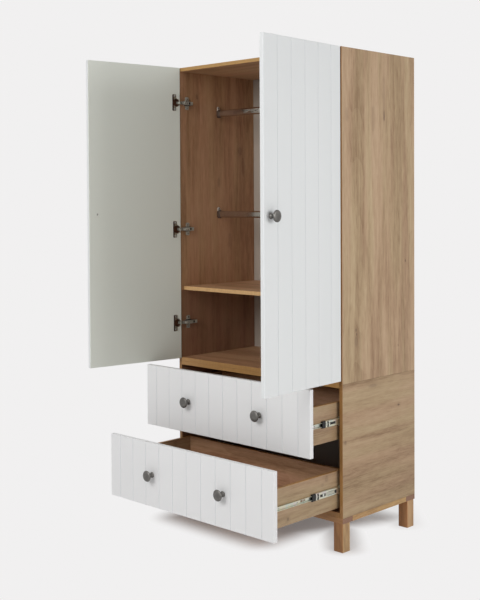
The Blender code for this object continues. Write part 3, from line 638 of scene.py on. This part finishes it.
KNOB_PROFILE = [
    (0, 0.0003), (0.0109, 0.0003), (0.0115, 0.0008), (0.0115, 0.0020), (0.0110, 0.0029),
    (0.0096, 0.0038), (0.0084, 0.0056), (0.0079, 0.0084), (0.0078, 0.0124), (0.0080, 0.0160),
    (0.0088, 0.0190), (0.0104, 0.0212), (0.0132, 0.0226), (0.0170, 0.0236), (0.0196, 0.0246),
    (0.0210, 0.0260), (0.0215, 0.0278), (0.0211, 0.0294), (0.0198, 0.0308), (0.0172, 0.0320),
    (0.0134, 0.0329), (0.0086, 0.0334), (0.0040, 0.0335), (0, 0.0335),
]
DOOR_KNOB_X = 0.0395
DOOR_KNOB_Z = 1.275
DRAWER_KNOB_X = 0.196
DRAWER_KNOB_HEIGHTS = {"lower": 0.256, "upper": 0.516}
KNOB_SCREW = 0.0042
SCREW_SEAT = 0.0003


def knob(node, body, x, z, face, inner):
    """A cast mushroom knob, and the screw that holds it from behind."""
    bm = bmesh.new()
    add_spun(bm, KNOB_PROFILE, facing(x, face, z, "front"), 64)
    piece = put(f"{node}_turned", bm, PEWTER, body, 50)
    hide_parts(node)
    screws = Screws()
    screws.add(KNOB_SCREW, facing(x, inner + SCREW_SEAT, z, "back"))
    screws.put(f"{node}_screw", f"{node}_screw_cross", body, "nickel")


def knobs_all():
    for name, side in SIDES.items():
        knob(f"knob_door_{name}", f"{name}_door", side * DOOR_KNOB_X, DOOR_KNOB_Z, DOOR_FACE, -DOOR_GAP)
    for level, middle in DRAWER_KNOB_HEIGHTS.items():
        for name, side in SIDES.items():
            place = (side * DRAWER_KNOB_X, middle, FRONT_FACE, -FRONT_GAP)
            knob(f"knob_{level}_{name}", f"{level}_drawer", *place)


# Hinges. The first two sizes say how far the mounting plate and the arm's roof stand off the side.

PLATE_RISE = 0.0023
ROOF_RISE = 0.0158
PLATE_DEPTH = 0.0385
PLATE_SCREW = (0.0046, 0.0200)
ROOF_SCREW = (0.0038, 0.0280)
HOLE_SIZE = (0.0002, 0.0085, 0.0100)
HOLE_FROM_BACK = 0.0210
FOLD_SIZE = (0.0118, 0.0135, 0.0148)
FOLD_PLACE = (0.0082, 0.0105)
# Painted shadow lines beside the arm where it clips over its plate, and their spacing
SHADOW_LINE_SIZE = (0.0003, 0.0340, 0.0026)
SHADOW_LINE_SPACING = 0.0085
CUP_SCREW = (0.0042, 0.0275)
CUP_SCREW_INSET = 0.0292
FLANGE_RISE = 0.0014


def hinge_fittings(name, side, place, z):
    """Screws of the plate and the flange, the arm's adjuster and front fold, and dark pieces for painted
    shade: the arm's long hole and the shadow lines beside the arm on its plate.
    """
    plate = side * (INNER_HALF - PLATE_RISE)
    roof = side * (INNER_HALF - ROOF_RISE)
    radius, spacing = PLATE_SCREW
    screws = Screws()
    for sign in (1, -1):
        screws.add(radius, facing(plate, PLATE_DEPTH, z + sign * spacing, INWARD[name]))
    radius, depth = ROOF_SCREW
    screws.add(radius, facing(roof, depth, z, INWARD[name]))
    screws.put(f"hinge_screws_{name}_{place}", f"hinge_screw_crosses_{name}_{place}", "carcass", "nickel")
    # The arm's long hole is a dark piece: painted shade
    hole = bmesh.new()
    add_bar(hole, HOLE_SIZE, (roof, ARM_BACKS[place] - HOLE_FROM_BACK, z))
    put(f"hinge_hole_{name}_{place}", hole, RECESS_SHADE, "carcass")
    fold = bmesh.new()
    rise, depth = FOLD_PLACE
    add_bar(fold, FOLD_SIZE, (side * (INNER_HALF - rise), depth, z), 0.0012)
    put(f"hinge_fold_{name}_{place}", fold, DARK_FOLD, "carcass")
    # Dark strips beside the arm on its plate: painted shadow lines
    shadow_lines = bmesh.new()
    for sign in (1, -1):
        add_bar(shadow_lines, SHADOW_LINE_SIZE, (plate - side * 0.0001, PLATE_DEPTH, z + sign * SHADOW_LINE_SPACING))
    put(f"hinge_shadow_line_{name}_{place}", shadow_lines, DARK_LINE, "carcass")
    radius, spacing = CUP_SCREW
    tab = side * (HALF - CUP_SCREW_INSET)
    screws = Screws()
    for sign in (1, -1):
        screws.add(radius, facing(tab, -DOOR_GAP + FLANGE_RISE, z + sign * spacing, "back"))
    screws.put(f"cup_screws_{name}_{place}", f"cup_screw_crosses_{name}_{place}", f"{name}_door", "bronzed")


# Hanging rails

RAIL_END_GAP = 0.0003
SOCKET_FLOOR = 0.0032
SOCKET_DEPTH = 0.014
SOCKET_WALLS = 0.0056
EAR_RISE = 0.0245
EAR_RADIUS = 0.0075
EAR_THICK = 0.0030
EAR_SCREW = 0.0054


def oval(bm, width, height, x, z, points=24):
    """A ring of edges in the plane across the cupboard: two half circles and straight sides."""
    straight = (height - width) / 2
    ring = []
    for sign in (1, -1):
        for step in range(points + 1):
            angle = math.pi * step / points
            y = RAIL_SETBACK + sign * width / 2 * math.cos(angle)
            ring.append(bm.verts.new((x, y, z + sign * (straight + width / 2 * math.sin(angle)))))
    return bm.faces.new(ring)


def pull_out(bm, face, reach):
    """Extrudes a face across the cupboard."""
    made = bmesh.ops.extrude_face_region(bm, geom=[face])["geom"]
    verts = [item for item in made if isinstance(item, bmesh.types.BMVert)]
    bmesh.ops.translate(bm, verts=verts, vec=(reach, 0.0, 0.0))


def rail_end(name, side_name, side, z, reach):
    """The socket that carries one end of a rail, the ear above it, and its screw."""
    cup = bmesh.new()
    outline = oval(cup, RAIL_SIZE[0] + SOCKET_WALLS, RAIL_SIZE[1] + SOCKET_WALLS, side * reach, z)
    pull_out(cup, outline, -side * SOCKET_DEPTH)
    mouth = reach - SOCKET_DEPTH
    edges = [edge for edge in cup.edges if all(abs(abs(vert.co.x) - mouth) < 1e-6 for vert in edge.verts)]
    bmesh.ops.bevel(cup, geom=edges, offset=0.0009, affect="EDGES", segments=3, profile=0.5, material=-1)
    put(f"rail_socket_{name}_{side_name}", cup, DULL_CHROME, "carcass", 40)
    ear = bmesh.new()
    rim = EAR_RADIUS - 0.0008
    profile = [(0, 0), (EAR_RADIUS, 0), (EAR_RADIUS, 0.0022), (rim, EAR_THICK), (0, EAR_THICK)]
    add_spun(ear, profile, facing(side * reach, RAIL_SETBACK, z + EAR_RISE, INWARD[side_name]), 32)
    web = (side * (reach - 0.0014), RAIL_SETBACK, z + EAR_RISE - 0.0080)
    add_bar(ear, (0.0028, EAR_RADIUS * 2, 0.0160), web, 0.0006)
    put(f"rail_ear_{name}_{side_name}", ear, EAR_STEEL, "carcass", 40)
    screws = Screws()
    face = side * (reach - EAR_THICK)
    screws.add(EAR_SCREW, facing(face, RAIL_SETBACK, z + EAR_RISE, INWARD[side_name]))
    screws.put(f"rail_screw_{name}_{side_name}", f"rail_screw_cross_{name}_{side_name}", "carcass", "chrome")


def hanging_rail(name, drop):
    z = TOP_Z - drop
    reach = INNER_HALF - RAIL_END_GAP
    bar = bmesh.new()
    pull_out(bar, oval(bar, *RAIL_SIZE, -reach + SOCKET_FLOOR, z), 2 * reach - 2 * SOCKET_FLOOR)
    tube = put(f"rail_tube_{name}", bar, CHROME, "carcass", 40)
    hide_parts(f"hanging_rail_{name}")
    for side_name, side in SIDES.items():
        rail_end(name, side_name, side, z, reach)


# Runners. Depths are from the carcass front, along members that are drawn pushed in.

WEB_INSET = 0.0023
WEB_FACE = INNER_HALF - WEB_INSET
MEMBER_RISE = 0.0011
MEMBER_FACE = BOX_HALF + MEMBER_RISE
# The slot, hole, arcs and lines of the middle member are dark pieces: painted shade
SLOT_MARK = (0.0620, (0.0002, 0.0310, 0.0088))
HOLE_MARK = (0.1360, [(0, 0), (0.0062, 0), (0.0062, 0.0002), (0, 0.0002)])
ARC_MARK = (0.0345, 0.0060, (0.0009, 0.0070, 0.0112), 0.30)
LINE_MARK = (0.2100, 0.0062, (0.0001, 0.2400, 0.0011))
CLIP_DEPTHS = (0.0268, 0.0420)
CLIP = (0.0052, (0.0007, 0.0036, 0.0106), 0.32)
RIVET = (0.0655, [(0, 0), (0.0048, 0), (0.0046, 0.0003), (0, 0.0004)])
MEMBER_SCREW = 0.0034
MEMBER_SCREW_DEPTHS = (0.030, 0.130, 0.260, 0.370)
RIM_WIDTH = 0.0012
MEMBER_HOLES = (
    (0.0080, 0.0090, 0.0056), (0.0200, 0.0046, 0.0046), (0.1540, 0.0090, 0.0056),
    (0.1640, 0.0030, 0.0072), (0.1720, 0.0046, 0.0046),
)


def middle_member_marks(level, name, side):
    """Clip of the middle member, and its slot, hole, arcs and lines as dark pieces of painted shade."""
    z = RUNNER_HEIGHTS[level]
    web = side * WEB_FACE
    dark = bmesh.new()
    depth, size = SLOT_MARK
    add_bar(dark, size, (web, depth, z))
    depth, profile = HOLE_MARK
    add_spun(dark, profile, facing(web, depth, z, name), 24)
    for sign in (1, -1):
        depth, rise, size, lean = ARC_MARK
        add_bar(dark, size, (web, depth, z + sign * rise), lean=sign * lean)
        depth, rise, size = LINE_MARK
        add_bar(dark, size, (web, depth, z + sign * rise))
    put(f"runner_slots_{level}_{name}", dark, RECESS_SHADE, f"{level}_runners")
    clip = bmesh.new()
    rise, size, lean = CLIP
    for depth in CLIP_DEPTHS:
        for sign in (1, -1):
            add_bar(clip, size, (web, depth, z + sign * rise), 0.0003, lean=sign * lean)
    if level == "lower":
        depth, profile = RIVET
        add_spun(clip, profile, facing(web, depth, z, name), 20)
    put(f"runner_clip_{level}_{name}", clip, ZINC, f"{level}_runners")


def drawer_member_marks(level, name, side):
    """Screws of the drawer member, and the holes through it, with painted shade as dark rims round them."""
    z = RUNNER_HEIGHTS[level]
    body = f"{level}_drawer"
    face = side * MEMBER_FACE
    screws, rims, wood = Screws(), bmesh.new(), bmesh.new()
    for depth in MEMBER_SCREW_DEPTHS:
        screws.add(MEMBER_SCREW, facing(face, depth, z, name))
    for depth, length, height in MEMBER_HOLES:
        # Dark rims round each hole, painted shade, and the wood seen through it, painted darker for shade
        add_bar(rims, (0.0002, length + RIM_WIDTH, height + RIM_WIDTH), (face, depth, z))
        add_bar(wood, (0.0004, length, height), (face, depth, z))
    screws.put(f"member_screws_{level}_{name}", f"member_crosses_{level}_{name}", body, "zinc")
    put(f"member_rims_{level}_{name}", rims, RECESS_SHADE, body)
    put(f"member_holes_{level}_{name}", wood, SHADED_SEEN_WOOD, body)


# Dressing the frame's own pieces

UPPER_MARKS = {
    "right": [
        (0.264, 1.655, 0.0045, 0.022, 0.70), (0.262, 1.730, 0.0100, 0.090, 0.16),
        (0.083, 0.835, 0.0045, 0.008, 0.55), (0.087, 0.819, 0.0038, 0.006, 0.65),
        (0.084, 0.792, 0.0120, 0.022, 0.28), (0.405, 1.085, 0.0034, 0.006, 0.70),
        (0.355, 0.750, 0.0030, 0.004, 0.60), (0.193, 1.640, 0.0120, 0.060, 0.16),
        (0.030, 1.650, 0.0100, 0.030, 0.18),
    ],
    "left": [
        (0.369, 1.556, 0.0160, 0.024, 0.34), (0.388, 1.490, 0.0110, 0.050, 0.26),
        (0.233, 1.413, 0.0090, 0.026, 0.26), (0.101, 1.783, 0.0080, 0.012, 0.38),
        (0.300, 1.150, 0.0100, 0.040, 0.20),
    ],
}
LOWER_MARKS = [
    (0.512, 0.357, 0.0042, 0.007, 0.75), (0.416, 0.017, 0.0080, 0.008, 0.40),
    (0.610, 0.190, 0.0090, 0.030, 0.26),
]
BOX_MARKS = {
    "lower": [
        (0.188, -0.279, 0.0060, 0.008, 0.45), (0.290, -0.062, 0.0130, 0.012, 0.24),
        (0.272, -0.085, 0.0080, 0.010, 0.20),
    ],
    "upper": [(0.470, -0.045, 0.0040, 0.030, 0.20)],
}
ALONG_X, ALONG_Y, ALONG_Z = 0, 1, 2
PIN_STEEL = (INNER_HALF - 0.0002, False)
MEMBER_STEEL = (BOX_HALF + 0.00005, True)


def dress(node, material):
    mesh = frame["nodes"][node].data
    mesh.materials.clear()
    mesh.materials.append(material)


def dress_oak(node, run, offset, *tones, **marks):
    """An oak board with its own stretch of grain."""
    dress(node, oak(f"oak_{node}", run, offset, *tones, **marks))


def dress_side(index, name):
    """The side boards, base rail, legs, door and hinges of one side."""
    upper = (0.4 * index, 0.31 + 0.57 * index, 0.17 * index)
    dress_oak(
        f"side_upper_{name}", ALONG_Z, upper,
        inside="side", banded=0.0, steel=PIN_STEEL, marks=UPPER_MARKS[name],
    )
    dress_oak(
        f"side_lower_{name}", ALONG_Y, (0.3, 0.4 + index, 0.9), LOWER_TONES,
        inside="side", inner=LOWER_INSIDE_SHADE_TONES, banded=0.0, across=ALONG_Z, marks=LOWER_MARKS,
    )
    dress_oak(f"base_rail_{name}", ALONG_Y, (0.7, 0.2 + index, 0.4), SIDE_RAIL_TONES, front=BASE_SHADE_TONES)
    for row in ("front", "back"):
        dress_oak(f"leg_{row}_{name}", ALONG_Z, (0.5 * index, 0.8, 0.3), LEG_TONES, front=LEG_FRONT_SHADE_TONES)
    body = f"{name}_door"
    dress(f"door_{name}", lacquer(f"white_paint_door_{name}", DOOR_WHITE_TINTED_FOR_LIGHT, body, DOOR_FACE, INNER_PAINT_DEPTH))
    cups = cup_steel(f"dark_nickel_{name}", body)
    for place in HINGE_DROPS:
        dress(f"hinge_arm_{name}_{place}", NICKEL)
        dress(f"hinge_cup_{name}_{place}", cups)


def dress_drawer(level):
    """One drawer and its runners."""
    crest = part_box(f"drawer_back_{level}")[1][2]
    paint = lacquer(f"white_paint_{level}", WHITE, f"{level}_drawer", FRONT_FACE)
    dress(f"drawer_front_{level}", paint)
    dress_oak(f"drawer_back_{level}", ALONG_X, (0.1, 0.5, 0.9), BOX_INNER_TONES, crest=crest)
    dress_oak(f"drawer_bottom_{level}", ALONG_X, (0.6, 0.1, 0.2), BOX_INNER_TONES)
    for name in SIDES:
        dress_oak(
            f"drawer_side_{level}_{name}", ALONG_Y, (0.9, 0.7, 0.5), BOX_TONES,
            crest=crest, steel=MEMBER_STEEL, across=ALONG_Z, marks=BOX_MARKS[level],
        )
        dress(f"cabinet_member_{level}_{name}", ZINC)
        node = f"middle_member_{level}_{name}"
        dress(node, capped_steel(node, RUNNER_HEIGHTS[level], CAP_ENDS[level]))


def dress_frame():
    for index, name in enumerate(SIDES):
        dress_side(index, name)
    for row in ("front", "back"):
        dress_oak(f"base_rail_{row}", ALONG_X, (0.2, 0.6, 0.8), BASE_SHADE_TONES, ends=True)
    dress_oak("top_panel", ALONG_X, (0.0, 0.3, 0.6), inside="top", banded=0.0, strip=TOP_BAND)
    dress_oak("upper_floor", ALONG_X, (0.4, 0.3, 0.6), INSIDE_BOUNCE_TONES, banded=0.0, strip=FLOOR_BAND)
    shelf_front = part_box("shelf")[0][1]
    dress_oak("shelf", ALONG_X, (1.6, 0.3, 0.6), INSIDE_BOUNCE_TONES, banded=shelf_front, strip=SHELF_BAND)
    for node, strip in {"lower_top": FLOOR_BAND, "bottom_panel": EDGE_BAND}.items():
        dress_oak(node, ALONG_X, (0.8, 0.3, 0.6), LOWER_INSIDE_SHADE_TONES, banded=0.0, strip=strip)
    for node in ("back_upper", "back_lower"):
        dress(node, BACK_PAPER)
    for level in RUNNER_HEIGHTS:
        dress_drawer(level)


# Studio

YAW, PITCH, ROLL = 0.7704, -0.0249, -0.0053
CAMERA_PLACE = (2.8852, -3.0579, 1.3264)
FOCAL_PIXELS = 1044.17
PICTURE_PIXELS = 600
SENSOR_WIDTH = 36.0
LENS_SHIFT = (0.0008, -0.1213)
BACKDROP = colour(241, 240, 240)
PAPER = colour(243, 242, 242)
ROOM_LIGHT = {"From Min": 0.0, "From Max": 0.9, "To Min": 0.20, "To Max": 0.50}
KEY_LAMP = ((4.6, 0.0, 1.7), (0.0, 0.0, 1.0), (1.8, 1.6), 79)
FILL_LAMP = ((0.4, -4.5, 3.0), (0.0, 0.0, 0.9), (2.6, 2.2), 117)
FLOOR_HALF = 14.0
FLOOR_DROP = 0.0005
# Where each leg's shadow starts, beside the centre line and in depth, and how dark it is
LEG_SHADOWS = ((0.439, 0.03, 0.62), (-0.411, 0.03, 0.62), (0.425, 0.44, 0.25), (-0.425, 0.44, 0.25))
SHADOW_WAY = (0.69, 0.72)
SHADOW_LENGTHS = (0.03, 0.26)
SHADOW_EDGE = (0.02, 0.105)
# The dark patch below: its reach to each side of the centre line, how it slants towards the back, its
# middle and half width in depth, and how far out and from what share it fades
DARK_LEFT, DARK_RIGHT = 0.33, 0.115
SLANT_START, SLANT = 0.08, 0.40
DARK_MIDDLE, DARK_HALF = 0.19, 0.29
FADE_WIDTH, FADE_START = 0.15, 0.12


def camera():
    """The photograph's view: place, direction, a slight roll and its framing."""
    ahead = Vector((-math.sin(YAW) * math.cos(PITCH), math.cos(YAW) * math.cos(PITCH), math.sin(PITCH)))
    right = Vector((math.cos(YAW), math.sin(YAW), 0.0))
    up = right.cross(ahead)
    across = right * math.cos(ROLL) + up * math.sin(ROLL)
    upward = up * math.cos(ROLL) - right * math.sin(ROLL)
    data = bpy.data.cameras.new("camera")
    data.sensor_width = SENSOR_WIDTH
    data.sensor_fit = "AUTO"
    data.lens = FOCAL_PIXELS * SENSOR_WIDTH / PICTURE_PIXELS
    data.shift_x, data.shift_y = LENS_SHIFT
    made = bpy.data.objects.new("camera", data)
    bpy.context.scene.collection.objects.link(made)
    turn = Matrix((across, upward, -ahead)).transposed().to_4x4()
    x, y, z = CAMERA_PLACE
    made.matrix_world = Matrix.Translation((x + CENTRE_LINE, y, z)) @ turn
    bpy.context.scene.camera = made


def lamp(name, place, target, size, power):
    data = bpy.data.lights.new(name, "AREA")
    data.shape = "RECTANGLE"
    data.size, data.size_y = size
    data.energy = power
    made = bpy.data.objects.new(name, data)
    bpy.context.scene.collection.objects.link(made)
    made.location = place
    made.rotation_euler = (Vector(target) - Vector(place)).to_track_quat("-Z", "Y").to_euler()


def room():
    """Pale light from all round, brighter from above, behind an even backdrop."""
    world = bpy.data.worlds.new("studio")
    bpy.context.scene.world = world
    world.use_nodes = True
    world.node_tree.nodes.clear()
    air = Nodes(world.node_tree)
    _, _, height = air.parts(air.node("TexCoord", output="Generated"))
    rise = air.node("MapRange", None, {"Value": height, **ROOM_LIGHT})
    glow = air.node("Background", None, {"Color": (1.0, 1.0, 1.0, 1.0), "Strength": rise})
    shown = air.node("Background", None, {"Color": BACKDROP})
    mixed = air.node("MixShader", None, {0: air.seen_or_mirrored(), 1: glow, 2: shown})
    output = world.node_tree.nodes.new("ShaderNodeOutputWorld")
    world.node_tree.links.new(mixed.socket, output.inputs[0])


def backdrop_share(finish):
    """How much of the floor is the plain backdrop: little under the cupboard, and all of it away from it."""
    along, depth, _ = finish.places()
    place = along - CENTRE_LINE
    slant = (depth - SLANT_START).at_least(0.0) * SLANT
    beside = (place - DARK_RIGHT - slant).at_least(-DARK_LEFT - place).at_least(0.0)
    before = (abs(depth - DARK_MIDDLE) - DARK_HALF).at_least(0.0)
    away = (beside * beside + before * before).root()
    halo = 1.0
    left, back = SHADOW_WAY
    shortest, longest = SHADOW_LENGTHS
    for leg_place, leg_depth, weight in LEG_SHADOWS:
        aside, behind = place - leg_place, depth - leg_depth
        cast = (behind * back - aside * left).at_least(shortest).at_most(longest)
        aside, behind = aside + cast * left, behind - cast * back
        near = (aside * aside + behind * behind).root()
        halo = finish.step(near, *SHADOW_EDGE, 1.0 - weight, 1.0).at_most(halo)
    return finish.step(away, 0.0, FADE_WIDTH, FADE_START, 1.0).at_most(halo)


def floor():
    """A paper floor that fades into the backdrop."""
    bm = bmesh.new()
    bmesh.ops.create_grid(bm, x_segments=1, y_segments=1, size=FLOOR_HALF)
    mesh = bpy.data.meshes.new("floor")
    bm.to_mesh(mesh)
    bm.free()
    sheet = bpy.data.objects.new("floor", mesh)
    sheet.location.z = -FLOOR_DROP
    bpy.context.scene.collection.objects.link(sheet)
    finish = Finish("floor_paper", 0.9)
    finish.set(Base_Color=PAPER)
    share = backdrop_share(finish) * finish.seen_or_mirrored()
    paper = Field(finish, finish.shader.outputs[0])
    glow = finish.node("Emission", None, {"Color": BACKDROP})
    mixed = finish.node("MixShader", None, {0: share, 1: paper, 2: glow})
    finish.tree.links.new(mixed.socket, finish.tree.nodes["Material Output"].inputs["Surface"])
    mesh.materials.append(finish.material)


def studio():
    """Pale room light with a soft key from the right and a fill from the front."""
    bpy.context.scene.view_settings.view_transform = "Standard"
    room()
    lamp("key", *KEY_LAMP)
    lamp("fill", *FILL_LAMP)
    floor()


dress_frame()
knobs_all()
for hinge_side, hinge_sign in SIDES.items():
    for hinge_place, hinge_drop in HINGE_DROPS.items():
        hinge_fittings(hinge_side, hinge_sign, hinge_place, TOP_Z - hinge_drop)
for rail_name, rail_drop in RAIL_DROPS.items():
    hanging_rail(rail_name, rail_drop)
for runner_level in RUNNER_HEIGHTS:
    for runner_side, runner_sign in SIDES.items():
        middle_member_marks(runner_level, runner_side, runner_sign)
        drawer_member_marks(runner_level, runner_side, runner_sign)
camera()
studio()
